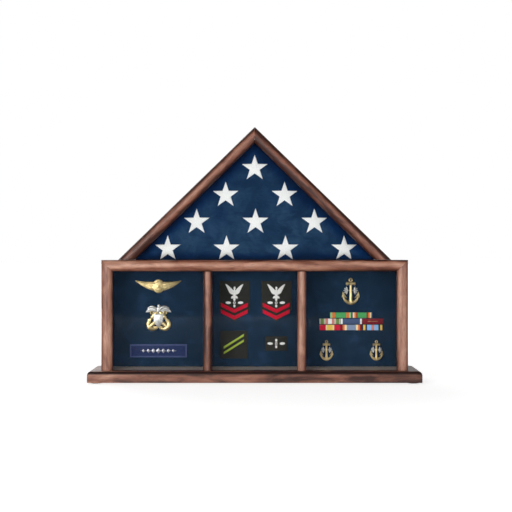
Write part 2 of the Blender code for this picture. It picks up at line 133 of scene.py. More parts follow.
def build_floor():
    """A pale floor that shows soft shadows near the case and fades to plain white further off."""
    bm = bmesh.new()
    bmesh.ops.create_circle(bm, cap_ends=True, segments=96, radius=FLOOR_RADIUS)
    floor = link_mesh("floor", bm)
    look, tree, shader, coords = new_look("floor", grey(0.88), 0.95)
    shade = ramp(tree, noise_at(tree, coords, 2.0, 2.0), [(0.3, grey(0.86)), (0.7, grey(0.89))])
    path = add(tree, "LightPath").outputs
    reach = add(tree, "VectorMath", {0: coords}, operation="LENGTH").outputs["Value"]
    glow = ramp(tree, maths(tree, "DIVIDE", reach, 2.0), [(0.18, grey(0.70)), (0.60, grey(1.0))])
    feed(tree, shader, {
        "Base Color": mixed(tree, path["Is Glossy Ray"], shade, grey(0.18)),
        "Emission Color": glow,
        "Emission Strength": weighted(tree, 0.05, (path["Is Camera Ray"], 0.95)),
    })
    floor.data.materials.append(look)


# --- node helpers ---

def grey(level):
    return (level, level, level)


def connect(tree, value, socket):
    if isinstance(value, bpy.types.NodeSocket):
        tree.links.new(value, socket)
    elif isinstance(value, tuple) and socket.type == "RGBA" and len(value) == 3:
        socket.default_value = (*value, 1.0)
    else:
        socket.default_value = value


def feed(tree, node, inputs):
    """Set a node's inputs to values, or link them to sockets."""
    for key, value in inputs.items():
        connect(tree, value, node.inputs[key])


def add(tree, kind, inputs=None, **settings):
    """A new shader node with these inputs and settings."""
    node = tree.nodes.new("ShaderNode" + kind)
    for key, value in settings.items():
        setattr(node, key, value)
    feed(tree, node, inputs or {})
    return node


def object_coords(tree):
    return add(tree, "TexCoord").outputs["Object"]


def split(tree, vector):
    """A vector's outputs, by the names X, Y and Z."""
    return add(tree, "SeparateXYZ", {0: vector}).outputs


def maths(tree, operation, a, b=0.0, c=0.0):
    return add(tree, "Math", {0: a, 1: b, 2: c}, operation=operation).outputs[0]


def weighted(tree, total, *parts):
    """A number plus each part times its weight."""
    for part, weight in parts:
        total = maths(tree, "MULTIPLY_ADD", part, weight, total)
    return total


def ramp(tree, factor, stops, interpolation="LINEAR"):
    node = add(tree, "ValToRGB", {"Fac": factor})
    node.color_ramp.interpolation = interpolation
    elements = node.color_ramp.elements
    while len(elements) < len(stops):
        elements.new(1.0)
    for element, (position, colour) in zip(elements, stops):
        element.position = position
        element.color = (*colour, 1.0)
    return node.outputs["Color"]


def mixed(tree, factor, a, b, mode="MIX"):
    node = tree.nodes.new("ShaderNodeMix")
    node.data_type = "RGBA"
    node.blend_type = mode
    feed(tree, node, {0: factor, 6: a, 7: b})
    return node.outputs[2]


def multiplied(tree, a, b):
    return mixed(tree, 1.0, a, b, "MULTIPLY")


def stretched(tree, coords, scale):
    return add(tree, "Mapping", {"Vector": coords, "Scale": scale}).outputs["Vector"]


def noise_at(tree, coords, scale, detail=3.0, roughness=0.5, distortion=0.0):
    node = add(tree, "TexNoise", {
        "Vector": coords, "Scale": scale, "Detail": detail, "Roughness": roughness,
        "Distortion": distortion,
    })
    return node.outputs["Fac"]


def bump(tree, shader, height, distance, strength=1.0):
    node = add(tree, "Bump", {"Height": height, "Distance": distance, "Strength": strength})
    connect(tree, node.outputs["Normal"], shader.inputs["Normal"])


def new_look(name, colour, roughness, metallic=0.0):
    """A material, its node tree, its main shader and the coordinates of the piece that wears it."""
    look = bpy.data.materials.new(name)
    look.use_nodes = True
    shader = look.node_tree.nodes["Principled BSDF"]
    shader.inputs["Base Color"].default_value = (*colour, 1.0)
    shader.inputs["Roughness"].default_value = roughness
    shader.inputs["Metallic"].default_value = metallic
    return look, look.node_tree, shader, object_coords(look.node_tree)


# --- materials ---

WALNUT_DARK = (0.052, 0.014, 0.008)
WALNUT_MID = (0.212, 0.074, 0.043)
WALNUT_LIGHT = (0.365, 0.165, 0.105)
WALNUT_PALE = (0.560, 0.310, 0.220)
PORE_DARK = (0.022, 0.008, 0.005)
# painted shade for the base board's rounded top edge
TOP_EDGE_SHADE = (0.022, 0.006, 0.004)
INSIDE_PALE = (0.98, 0.86, 0.76)
CENTIMETRES = 100.0            # in a metre, for ramps that run from 0 to 1 cm
WALNUT_TONE = -0.485           # brings the sum of the walnut's patterns to the middle of its ramp

# How fine the walnut's patterns are along its grain, and twice across it
FIGURE = (4.0, 34.0, 34.0)
CURL = (22.0, 60.0, 60.0)
WANDER = (2.2, 9.0, 9.0)
FIBRES = (28.0, 950.0, 950.0)
PORES = (75.0, 2300.0, 2300.0)

# From thread to thread, or rib to rib
FLAG_PITCH = 0.0009
STITCH_PITCH = 0.0007
TWILL_PITCH = 0.0010
RIBBON_PITCH = 0.0006


def growth_rings(tree, turned):
    """Wavering bright and dark lines along the grain, 0 to 1."""
    parts = split(tree, turned)
    wander = noise_at(tree, stretched(tree, turned, WANDER), 1.0, 2.0)
    across = weighted(tree, parts["Z"], (parts["Y"], 0.6))
    rings = weighted(tree, maths(tree, "MULTIPLY", across, 230.0), (wander, 16.0))
    return maths(tree, "ABSOLUTE", maths(tree, "SINE", rings))


def steepness(tree):
    """0 where a surface faces the front or the back, 1 where it is edge on."""
    facing = split(tree, add(tree, "NewGeometry").outputs["Normal"])["Y"]
    return maths(tree, "SUBTRACT", 1.0, maths(tree, "ABSOLUTE", facing))


def walnut(name, lean, shift, lift, shade_to_right, edge):
    """Lacquered walnut with its grain at an angle to +X; shift picks the part of the log.

    lift lightens it; the number after it darkens it towards +X, painted shade for the key light falling off
    to the right; edge darkens what does not face the front, painted shade on a moulding's sides.
    """
    look, tree, shader, coords = new_look(name, WALNUT_MID, 0.38)
    turned = add(tree, "Mapping", {
        "Vector": coords, "Rotation": (0.0, lean, 0.0), "Location": (shift, shift * 0.7, shift * 0.3),
    }).outputs["Vector"]
    figure = noise_at(tree, stretched(tree, turned, FIGURE), 1.0, 4.0, 0.55, 0.8)
    curl = noise_at(tree, stretched(tree, turned, CURL), 1.0, 3.0, 0.5, 1.2)
    fibres = noise_at(tree, stretched(tree, turned, FIBRES), 1.0, 3.0, 0.6)
    pores = noise_at(tree, stretched(tree, turned, PORES), 1.0, 1.0)
    pores = ramp(tree, pores, [(0.60, grey(0.0)), (0.68, grey(1.0))])
    # painted shade: darker towards +X for the key light's falloff, and darker on faces turned away from the
    # front for a moulding's shaded sides
    tone = weighted(tree, lift + WALNUT_TONE, (figure, 1.05), (growth_rings(tree, turned), 0.20),
                    (curl, 0.75), (fibres, 0.16), (split(tree, coords)["X"], -shade_to_right),
                    (steepness(tree), -edge))
    colour = ramp(tree, tone, [
        (0.32, WALNUT_DARK), (0.54, WALNUT_MID), (0.76, WALNUT_LIGHT), (1.0, WALNUT_PALE),
    ])
    feed(tree, shader, {
        "Base Color": mixed(tree, maths(tree, "MULTIPLY", pores, 0.6), colour, PORE_DARK),
        "Roughness": weighted(tree, 0.36, (fibres, 0.14)),
        "Coat Weight": 0.30,
        "Coat Roughness": 0.33,
    })
    bump(tree, shader, weighted(tree, 0.0, (pores, -1.0), (fibres, 0.5)), 0.00012, 0.6)
    return look


def mark_base_board(look):
    """Make the base board paler where it lies inside the lower case, and paint shade as a dark band just
    under its top edge.
    """
    tree = look.node_tree
    shader = tree.nodes["Principled BSDF"]
    stained = shader.inputs["Base Color"].links[0].from_socket
    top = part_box("base_board")[1].z
    parts = split(tree, object_coords(tree))
    # paler where the board lies inside the lower case
    inside_case = 1.0
    for operation, value, limit in (
            ("LESS_THAN", maths(tree, "ABSOLUTE", parts["X"]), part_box("case_side_right")[0].x),
            ("GREATER_THAN", parts["Y"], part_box("front_glass")[1].y),
            ("LESS_THAN", parts["Y"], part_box("case_back_panel")[0].y),
            ("GREATER_THAN", parts["Z"], top - 0.0005)):
        inside_case = maths(tree, "MULTIPLY", inside_case, maths(tree, operation, value, limit))
    colour = mixed(tree, inside_case, stained, mixed(tree, 0.22, INSIDE_PALE, stained))
    # painted shade: a dark band from just under the top down to about 6 mm, standing in for shade and dark
    # reflection on the rounded top edge
    below = maths(tree, "MULTIPLY", maths(tree, "SUBTRACT", top, parts["Z"]), CENTIMETRES)
    top_edge_shade_band = ramp(tree, below, [
        (0.03, grey(0.0)), (0.08, grey(1.0)), (0.40, grey(1.0)), (0.60, grey(0.0)),
    ])
    feed(tree, shader, {"Base Color": mixed(tree, top_edge_shade_band, colour, TOP_EDGE_SHADE)})


def clear_glass():
    """Thin clear glass: mostly see-through, mirroring more at a low angle."""
    look = bpy.data.materials.new("clear_glass")
    look.use_nodes = True
    tree = look.node_tree
    tree.nodes.clear()
    facing = add(tree, "LayerWeight", {"Blend": 0.5}).outputs["Facing"]
    share = weighted(tree, 0.012, (maths(tree, "POWER", facing, 5.0), 0.9))
    haze = noise_at(tree, object_coords(tree), 14.0, 3.0)
    passed = add(tree, "BsdfTransparent", {"Color": (0.985, 0.992, 0.990)})
    mirrored = add(tree, "BsdfGlossy", {"Color": grey(1.0), "Roughness": weighted(tree, 0.01, (haze, 0.05))})
    mix = add(tree, "MixShader", {0: share, 1: passed.outputs[0], 2: mirrored.outputs[0]})
    add(tree, "OutputMaterial", {"Surface": mix.outputs[0]})
    return look


def hardboard():
    look, tree, shader, coords = new_look("hardboard", (0.16, 0.09, 0.05), 0.65)
    flecks = noise_at(tree, coords, 420.0, 6.0, 0.7)
    clouds = noise_at(tree, coords, 18.0, 3.0)
    tone = weighted(tree, 0.0, (flecks, 0.7), (clouds, 0.3))
    colour = ramp(tree, tone, [(0.35, (0.085, 0.045, 0.024)), (0.65, (0.25, 0.145, 0.080))])
    feed(tree, shader, {"Base Color": colour})
    bump(tree, shader, flecks, 0.0002, 0.5)
    return look


def metal(name, colour, roughness, dirt):
    """Plated metal with fine scratches and patchy tarnish; dirt is the tarnish's share of its colour."""
    look, tree, shader, coords = new_look(name, colour, roughness, 1.0)
    tarnish = noise_at(tree, coords, 160.0, 4.0, 0.6)
    darker = tuple(part * dirt for part in colour)
    feed(tree, shader, {
        "Base Color": ramp(tree, tarnish, [(0.30, darker), (0.62, colour)]),
        "Roughness": weighted(tree, roughness - 0.1, (tarnish, 0.22)),
    })
    scratches = noise_at(tree, stretched(tree, coords, (300.0, 300.0, 2400.0)), 1.0, 2.0)
    bump(tree, shader, scratches, 0.00005, 0.35)
    return look


def velvet():
    look, tree, shader, coords = new_look("navy_velvet", (0.010, 0.024, 0.046), 0.95)
    nap = noise_at(tree, coords, 38.0, 5.0, 0.62, 0.5)
    pile = noise_at(tree, coords, 2600.0, 2.0)
    colour = ramp(tree, weighted(tree, 0.0, (nap, 0.8), (pile, 0.2)), [
        (0.34, (0.0056, 0.0192, 0.043)), (0.52, (0.0082, 0.0262, 0.056)), (0.66, (0.0150, 0.0400, 0.090)),
    ])
    feed(tree, shader, {
        "Base Color": colour,
        "Specular IOR Level": 0.08,
        "Sheen Weight": 0.12,
        "Sheen Roughness": 0.45,
        "Sheen Tint": (0.35, 0.60, 0.95),
    })
    bump(tree, shader, pile, 0.0002, 0.35)
    return look


def threads_at(tree, position, pitch):
    """A wave across threads of this pitch, from -1 between them to 1 on top."""
    return maths(tree, "SINE", maths(tree, "MULTIPLY", position, 2 * math.pi / pitch))


def flag_cloth():
    """Plain-woven navy cotton, painted lighter and hazier where its face lies close to the glass, standing
    in for sheen and glass reflection.
    """
    look, tree, shader, coords = new_look("flag_navy", (0.006, 0.026, 0.080), 0.85)
    parts = split(tree, coords)
    # painted haze: lighter where the face lies furthest forward, fading out about 7.5 mm back, for sheen and
    # reflection there
    gap = maths(tree, "SUBTRACT", parts["Y"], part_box("folded_flag")[0].y)
    near = ramp(tree, maths(tree, "MULTIPLY", gap, CENTIMETRES), [(0.15, grey(1.0)), (0.75, grey(0.0))])
    warp = threads_at(tree, parts["X"], FLAG_PITCH)
    weft = threads_at(tree, parts["Z"], FLAG_PITCH)
    weave = weighted(tree, 0.5, (maths(tree, "MULTIPLY", warp, weft), 0.5))
    clouds = noise_at(tree, coords, 26.0, 5.0, 0.6, 0.6)
    slubs = noise_at(tree, stretched(tree, coords, (60.0, 900.0, 1400.0)), 1.0, 2.0)
    tone = weighted(tree, -0.225, (clouds, 1.10), (slubs, 0.22), (weave, 0.13))
    deep = ramp(tree, tone, [(0.32, (0.0006, 0.0140, 0.058)), (0.68, (0.0022, 0.0260, 0.100))])
    painted_haze = ramp(tree, tone, [
        (0.36, (0.0050, 0.0230, 0.062)), (0.52, (0.0110, 0.0370, 0.086)), (0.68, (0.0210, 0.0560, 0.115)),
    ])
    feed(tree, shader, {
        "Base Color": mixed(tree, near, deep, painted_haze),
        "Specular IOR Level": 0.08,
        "Sheen Weight": 0.08,
        "Sheen Roughness": 0.4,
        "Sheen Tint": (0.45, 0.70, 0.98),
    })
    bump(tree, shader, weave, 0.00012, 0.55)
    return look


def embroidery(name, colour, lean):
    """Satin stitch: raised parallel threads at an angle in the XZ plane."""
    look, tree, shader, coords = new_look(name, colour, 0.6)
    turned = add(tree, "Mapping", {"Vector": coords, "Rotation": (0.0, lean, 0.0)}).outputs["Vector"]
    phase = maths(tree, "MULTIPLY", split(tree, turned)["Z"], 2 * math.pi / STITCH_PITCH)
    phase = weighted(tree, phase, (noise_at(tree, turned, 90.0, 2.0), 5.0))
    threads = maths(tree, "ABSOLUTE", maths(tree, "SINE", phase))
    fuzz = noise_at(tree, coords, 700.0, 3.0)
    shadow = tuple(part * 0.72 for part in colour)
    shade = ramp(tree, weighted(tree, 0.0, (threads, 0.6), (fuzz, 0.4)), [(0.20, shadow), (0.62, colour)])
    feed(tree, shader, {"Base Color": shade, "Specular IOR Level": 0.25})
    bump(tree, shader, threads, 0.0002, 0.6)
    return look


def serge():
    """Black twill patch cloth, with a diagonal rib."""
    look, tree, shader, coords = new_look("black_serge", (0.020, 0.021, 0.019), 0.9)
    parts = split(tree, coords)
    twill = threads_at(tree, maths(tree, "ADD", parts["X"], parts["Z"]), TWILL_PITCH)
    fuzz = noise_at(tree, coords, 500.0, 4.0, 0.65)
    colour = ramp(tree, weighted(tree, fuzz, (twill, 0.15)), [
        (0.30, (0.0075, 0.0085, 0.0070)), (0.70, (0.030, 0.032, 0.026)),
    ])
    feed(tree, shader, {"Base Color": colour, "Sheen Weight": 0.08})
    bump(tree, shader, twill, 0.00015, 0.6)
    return look


def felt():
    look, tree, shader, coords = new_look("black_felt", grey(0.02), 0.95)
    fuzz = noise_at(tree, coords, 900.0, 5.0, 0.7)
    feed(tree, shader, {"Base Color": ramp(tree, fuzz, [(0.35, grey(0.010)), (0.65, grey(0.045))])})
    bump(tree, shader, fuzz, 0.0003, 0.7)
    return look


def lacquer(name, colour):
    """Coloured lacquer with faint lighter specks."""
    look, tree, shader, coords = new_look(name, colour, 0.55)
    specks = noise_at(tree, coords, 350.0, 4.0)
    lighter = tuple(min(1.0, part * 1.35 + 0.004) for part in colour)
    feed(tree, shader, {
        "Base Color": ramp(tree, specks, [(0.35, colour), (0.75, lighter)]),
        "Roughness": weighted(tree, 0.50, (specks, 0.12)),
        "Specular IOR Level": 0.12,
    })
    return look


# --- mesh helpers ---

def link_mesh(name, bm):
    mesh = bpy.data.meshes.new(name)
    bm.to_mesh(mesh)
    bm.free()
    thing = bpy.data.objects.new(name, mesh)
    bpy.context.scene.collection.objects.link(thing)
    return thing


def finish_piece(name, bm, look, body, node=None, angle=40.0):
    """Link a mesh, shade it smooth but for its sharp edges, and make it ride on its body.

    A piece with a node stands in for that CAD piece.
    """
    thing = link_mesh(name, bm)
    thing.data.shade_smooth()
    thing.data.set_sharp_from_angle(angle=math.radians(angle))
    thing.data.materials.append(look)
    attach(thing, body)
    if node:
        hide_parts(node)


def rounded(thing, width):
    """Ease a piece's sharp edges."""
    modifier = thing.modifiers.new("eased edges", "BEVEL")
    modifier.width = width
    modifier.segments = 2
    modifier.limit_method = "ANGLE"
    modifier.angle_limit = math.radians(32)


def rectangle(left, foot, right, top):
    return [(left, foot), (right, foot), (right, top), (left, top)]


def slab(bm, outline, front, back, ease=0.0, segments=2):
    """A flat plate facing -Y with this (x, z) outline, its front edge rounded by ease."""
    base = [bm.verts.new((x, back, z)) for x, z in outline]
    face = bm.faces.new(base)
    made = bmesh.ops.extrude_face_region(bm, geom=[face])
    top = [item for item in made["geom"] if isinstance(item, bmesh.types.BMVert)]
    bmesh.ops.translate(bm, vec=(0, front - back, 0), verts=top)
    faces = {near for vert in top + base for near in vert.link_faces}
    bmesh.ops.recalc_face_normals(bm, faces=list(faces))
    if ease > 0:
        edges = [edge for edge in {e for v in top for e in v.link_edges}
                 if all(vert in top for vert in edge.verts)]
        bmesh.ops.bevel(bm, geom=edges, offset=ease, segments=segments, profile=0.5,
                        affect="EDGES", clamp_overlap=True)


def ellipsoid(bm, centre, radii, lean=0.0, sides=14, rings=8):
    """An ellipsoid with radii (x, y, z), turned about Y by lean."""
    turn = Matrix.Translation(centre) @ Matrix.Rotation(lean, 4, "Y")
    matrix = turn @ Matrix.Diagonal((*radii, 1.0))
    bmesh.ops.create_uvsphere(bm, u_segments=sides, v_segments=rings, radius=1.0, matrix=matrix)


def pairs_around(ring):
    """Each item of a ring with the next one."""
    return zip(ring, ring[1:] + ring[:1])


def bridge(bm, first, second):
    """Faces between two rings with the same number of vertices."""
    sides = zip(pairs_around(first), pairs_around(second))
    return [bm.faces.new((a, b, d, c)) for (a, b), (c, d) in sides]


def tube(bm, path, radii, sides=10, flat=1.0):
    """A closed tube along a path in 3-D, with a radius at each point; flat squeezes it in Y."""
    rings = []
    for index, point in enumerate(path):
        ahead = Vector(path[min(index + 1, len(path) - 1)])
        behind = Vector(path[max(index - 1, 0)])
        along = (ahead - behind).normalized()
        side = along.cross(Vector((0, 1, 0)))
        side = side.normalized() if side.length > 0.001 else Vector((1, 0, 0))
        up = side.cross(along).normalized()
        ring = []
        for step in range(sides):
            angle = 2 * math.pi * step / sides
            offset = side * math.cos(angle) + up * math.sin(angle) * flat
            ring.append(bm.verts.new(Vector(point) + offset * radii[index]))
        rings.append(ring)
    faces = [bm.faces.new(rings[0]), bm.faces.new(rings[-1])]
    for first, second in zip(rings, rings[1:]):
        faces += bridge(bm, first, second)
    bmesh.ops.recalc_face_normals(bm, faces=faces)


def torus(bm, centre, major, minor, lean=0.0, squash=1.0, sides=24, section=8):
    """A ring facing -Y; squash narrows it in its own X, and lean turns it about Y."""
    turn = Matrix.Translation(centre) @ Matrix.Rotation(lean, 4, "Y")
    rings = []
    for step in range(sides):
        around = 2 * math.pi * step / sides
        ring = []
        for part in range(section):
            angle = 2 * math.pi * part / section
            reach = major + minor * math.cos(angle)
            spot = (reach * math.cos(around) * squash, minor * math.sin(angle), reach * math.sin(around))
            ring.append(bm.verts.new(turn @ Vector(spot)))
        rings.append(ring)
    faces = []
    for first, second in pairs_around(rings):
        faces += bridge(bm, first, second)
    bmesh.ops.recalc_face_normals(bm, faces=faces)


def spot_of(node):
    """Centre, half sizes and rear y of a CAD node."""
    low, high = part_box(node)
    return (low + high) / 2, (high - low) / 2, high.y


# --- woodwork, glass and fittings ---

def grain_lean(node):
    """Angle of a board's long direction to +X, in radians."""
    if node.startswith(("stile", "mullion", "case_side", "partition", "glass_bead")):
        return math.pi / 2
    if node.startswith("flag_") and node.endswith(("left", "right")):
        low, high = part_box(node)
        slope = math.atan2(high.z - low.z, high.x - low.x)
        return slope if node.endswith("left") else -slope
    return 0.0


# Each board's tone and painted shade: how much lighter it is, and how much darker it grows per metre to +X,
# painted shade for the key light falling off to the right
BOARD_TONES_AND_SHADE = {
    "mullion_left": (-0.15, 0.0),
    "mullion_right": (0.24, 0.0),
    "stile_left": (0.17, 0.0),
    "stile_right": (0.15, 0.0),
    "top_rail": (0.15, 0.70),
    "base_board": (-0.15, 0.62),
    "flag_moulding_left": (-0.07, 0.0),
    # the right slope's moulding is set darker partly as painted shade on its side away from the key
    "flag_moulding_right": (-0.16, 0.0),
}

FACE_MOULDINGS = ("mullion_left", "mullion_right", "stile_left", "stile_right", "top_rail",
                  "flag_moulding_left", "flag_moulding_right")
# painted shade on the face mouldings' sides, where they turn away from the lights
MOULDING_SIDE_SHADE = 0.62           # how much darker a moulding's sides are
LOG_STEP = 0.37                # from one board's place in the log to the next
BOARD_EASE = 0.0007
BEAD_EASE = 0.0004
PANEL_EASE = 0.0005
BRASS_EASE = 0.00025


def dress_woodwork():
    wooden = [entry["node"] for entry in frame["record"]["subparts"]
              if entry["material_slot"] == "walnut"]
    for number, node in enumerate(wooden):
        # a board's tone lift, its painted shade towards +X, and painted shade on a face moulding's sides
        lift, shade_to_right = BOARD_TONES_AND_SHADE.get(node, (0.0, 0.0))
        edge = MOULDING_SIDE_SHADE if node in FACE_MOULDINGS else 0.0
        look = walnut(f"walnut_{node}", grain_lean(node), LOG_STEP * (number + 1), lift, shade_to_right, edge)
        if node == "base_board":
            mark_base_board(look)
        dress(NODES[node], look)
        rounded(NODES[node], BEAD_EASE if "bead" in node else BOARD_EASE)


def build_glue_line():
    """The dark glue in the mitre at the apex; it stops short of the back panel's tip."""
    low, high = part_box("flag_wall_left")
    half = 0.0001
    bm = bmesh.new()
    slab(bm, rectangle(-half, high.z - 0.0130, half, high.z - 0.0008), low.y + 0.0005, high.y - 0.0005)
    finish_piece("apex_glue_line", bm, walnut("walnut_glue", 0.0, 0.2, -0.4, 0.0, 0.0), "case")


def dress(thing, look):
    thing.data.materials.clear()
    thing.data.materials.append(look)


def dress_fittings():
    glass = clear_glass()
    for node in ("front_glass", "flag_glass"):
        dress(NODES[node], glass)
    board = hardboard()
    for node in ("case_back_panel", "flag_back_panel"):
        dress(NODES[node], board)
        rounded(NODES[node], PANEL_EASE)
    brass = metal("satin_brass", (0.78, 0.55, 0.24), 0.32, 0.55)
    pad = felt()
    for node, thing in NODES.items():
        if node.startswith(("turn_button", "button_screw", "base_screw")):
            dress(thing, brass)
            rounded(thing, BRASS_EASE)
        if node.startswith("felt_foot"):
            dress(thing, pad)


def build_velvet_boards():
    """Boards wrapped in velvet, which rounds their front edges."""
    look = velvet()
    for bay in ("left", "centre", "right"):
        low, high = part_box(f"velvet_board_{bay}")
        bm = bmesh.new()
        slab(bm, rectangle(low.x, low.z, high.x, high.z), low.y, high.y, ease=0.003, segments=4)
        finish_piece(f"velvet_cover_{bay}", bm, look, "case_back", f"velvet_board_{bay}")


# --- folded flag ---

FLAG_VOXEL = 0.0035            # size of the faces that the flag is shaped from
FLAG_SIDE_BAND = 0.036         # the face rises to its full height over this width at its sides
FLAG_FOOT_BAND = 0.016         # and over this height at its foot
FLAG_TUCK = 0.016              # how far back its edges lie
FLAG_GAP = 0.0014              # how far its face is moved back from the glass
FLAG_DROOP = 0.006             # how far its corners are drawn down

STAR_ROWS = 4
STAR_TOP = 0.3613              # height of the top star
STAR_ROW_STEP = 0.0454
STAR_PITCH = 0.0995
STAR_LEAN = 0.0007             # each row lies this much further right than the one above
STAR_RADIUS = 0.0229
STAR_WAIST = 0.390             # its inner corners' share of its radius

# Rings of a star's stitching, from its rim inwards: share of its size, and height off the cloth
STAR_RINGS = [(1.0, 0.0001), (0.96, 0.0007), (0.80, 0.0010), (0.55, 0.0012), (0.28, 0.0012)]


def flag_pillow(x, z, low, high):
    """How far (0 to 1) the flag's face stands out at a point: 1 in the middle, 0 at its edges."""
    half = (high.x - low.x) / 2
    height = high.z - low.z
    slant = math.hypot(half, height)
    to_side = ((high.z - z) * half - abs(x) * height) / slant
    to_foot = z - low.z
    reach = min(to_side / FLAG_SIDE_BAND, to_foot / FLAG_FOOT_BAND)
    reach = max(0.0, min(1.0, reach))
    return math.sin(reach * math.pi / 2) ** 0.8


def flag_wrinkle(x, z):
    """Soft puckers all over and longer creases from corner to corner."""
    broad = noise.noise(Vector((x * 16, z * 24, 0.3)))
    pucker = noise.noise(Vector((x * 45, z * 60, 2.2)))
    drawn = noise.noise(Vector(((x + z) * 10, (z - x) * 48, 4.1)))
    other = noise.noise(Vector(((x - z) * 10, (z + x) * 44, 9.7)))
    return 0.0014 * broad + 0.0010 * pucker + 0.0013 * drawn + 0.0011 * other


def flag_slab(low, high):
    """A triangular slab with a mesh fine enough to shape into the flag."""
    bm = bmesh.new()
    slab(bm, [(low.x, low.z), (high.x, low.z), (0.0, high.z)], low.y, high.y)
    packet = link_mesh("flag_packet", bm)
    remesh = packet.modifiers.new("remesh", "REMESH")
    remesh.mode = "VOXEL"
    remesh.voxel_size = FLAG_VOXEL
    depsgraph = bpy.context.evaluated_depsgraph_get()
    mesh = bpy.data.meshes.new_from_object(packet.evaluated_get(depsgraph))
    packet.modifiers.clear()
    packet.data = mesh
    return packet


def plump(mesh, low, high):
    """Draw the slab's edges in from both faces, pucker its front and flatten its foot."""
    middle = (low.y + high.y) / 2
    for vert in mesh.vertices:
        x, y, z = vert.co
        in_front = y < middle
        share = abs(y - middle) / ((high.y - low.y) / 2)
        swell = flag_pillow(x, z, low, high)
        tuck = (1.0 - swell) * FLAG_TUCK * (1.0 if in_front else 0.7) * share
        vert.co.y += tuck if in_front else -tuck
        if in_front and share > 0.6:
            vert.co.y += flag_wrinkle(x, z) * swell + FLAG_GAP
        droop = FLAG_DROOP * (abs(x) / high.x) ** 10
        if z < low.z + 0.003 + droop:
            vert.co.z = low.z - 0.0005


def build_flag():
    """The folded flag: a plump triangular packet, its face pressed up to the glass."""
    low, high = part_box("folded_flag")
    packet = flag_slab(low, high)
    plump(packet.data, low, high)
    smooth = packet.modifiers.new("smooth", "SMOOTH")
    smooth.factor = 0.5
    smooth.iterations = 3
    packet.data.shade_smooth()
    packet.data.materials.append(flag_cloth())
    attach(packet, "case")
    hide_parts("folded_flag")
    build_stars(packet)


def star_outline(radius):
    """A five-pointed star's outline, one point up."""
    corners = []
    for index in range(10):
        angle = math.pi / 2 + index * math.pi / 5
        reach = radius if index % 2 == 0 else radius * STAR_WAIST
        corners.append(Vector((reach * math.cos(angle), reach * math.sin(angle))))
    return corners


def build_stars(packet):
    """Ten embroidered stars in rows of one to four, lying on the flag's face."""
    cloth = BVHTree.FromObject(packet, bpy.context.evaluated_depsgraph_get())
    look = embroidery("star_thread", (0.97, 0.97, 0.96), 0.3)
    number = 0
    for row in range(STAR_ROWS):
        z = STAR_TOP - row * STAR_ROW_STEP
        for place in range(row + 1):
            x = (place - row / 2) * STAR_PITCH + STAR_LEAN * row
            number += 1
            build_star(f"flag_star_{number:02d}", x, z, cloth, look)


def build_star(name, x, z, cloth, look):
    """One star: a star-shaped patch laid on the cloth, its rim a thread's height above it."""
    bm = bmesh.new()
    rings = []
    for scale, lift in STAR_RINGS:
        ring = []
        for start, end in pairs_around(star_outline(STAR_RADIUS)):
            for part in range(4):
                spot = start.lerp(end, part / 4) * scale
                ring.append(bm.verts.new(on_cloth(cloth, x + spot.x, z + spot.y, lift)))
        rings.append(ring)
    for outer, inner in zip(rings, rings[1:]):
        bridge(bm, outer, inner)
    centre = bm.verts.new(on_cloth(cloth, x, z, STAR_RINGS[-1][1]))
    for start, end in pairs_around(rings[-1]):
        bm.faces.new((start, end, centre))
    bmesh.ops.recalc_face_normals(bm, faces=bm.faces)
    finish_piece(name, bm, look, "case", angle=60)


def on_cloth(cloth, x, z, lift):
    """A point this far in front of the flag's face."""
    hit = cloth.ray_cast(Vector((x, -1.0, z)), Vector((0, 1, 0)))[0]
    if hit is None:
        hit = cloth.find_nearest(Vector((x, 0.0, z)))[0]
    return Vector((x, hit.y - lift, z))


# --- insignia ---

BODY = "case_back"             # the insignia ride on the lower case's back
MOTIF_SHIFT = -0.0005          # from a badge's middle to its embroidery's
STITCH_RISE = 0.0001           # from a patch's face out to the middle of its embroidery
BRAID_RISE = 0.0006            # from a patch's face out to the front of its braid
BRAID_SINK = 0.0004            # and in to the braid's back
PLATE_RIM = 0.0028             # width of the name plate's rim


def corners_of(centre, half):
    return rectangle(centre.x - half.x, centre.z - half.z, centre.x + half.x, centre.z + half.z)


def feather(bm, centre, side, root, tip, y, thick, width, overlap=0.0):
    """A flat feather on one side of a centre (x, z), from root to tip, both measured from it."""
    along = tip - root
    middle = (root + tip) / 2
    lean = -math.atan2(along.y, along.x)
    ellipsoid(bm, (centre[0] + side * middle.x, y, centre[1] + middle.y),
              (along.length / 2 + overlap, thick, width), side * lean, 12, 6)


def wing_foot(x):
    """Height of a wing's lower edge, both measured from the badge's centre."""
    return -0.0090 + 0.08 * x + 9.4 * x * x


def wing_of_badge(bm, centre, rear, thick, side):
    """A wing with a level top: a plate, two rows of feathers and a rounded leading edge."""
    reaches = [0.006 + 0.034 * step / 8 for step in range(9)]
    outline = [(x, wing_foot(x)) for x in reaches] + [(0.028, 0.0074), (0.006, 0.0064)]
    outline = [(centre.x + side * x, centre.z + z) for x, z in outline]
    slab(bm, outline, rear - thick * 0.45, rear, ease=0.0003)
    for row, (count, share) in enumerate(((11, 1.0), (8, 0.52))):
        y = rear - thick * (0.45 + 0.14 * row)
        for index in range(count):
            tip_x = 0.0115 + 0.0270 * index / (count - 1)
            root = Vector((0.0070 + 0.55 * (tip_x - 0.0115), 0.0052))
            tip = root.lerp(Vector((tip_x, wing_foot(tip_x) + 0.0004)), share)
            feather(bm, (centre.x, centre.z), side, root, tip, y, thick * 0.24, 0.0015, 0.001)
    path = [(centre.x + side * (0.006 + 0.0335 * t), rear - thick * 0.60,
             centre.z + 0.0060 + 0.0010 * t + 0.0026 * t ** 4) for t in (0.0, 0.25, 0.5, 0.75, 1.0)]
    tube(bm, path, [0.0019, 0.0018, 0.0016, 0.0012, 0.0006])


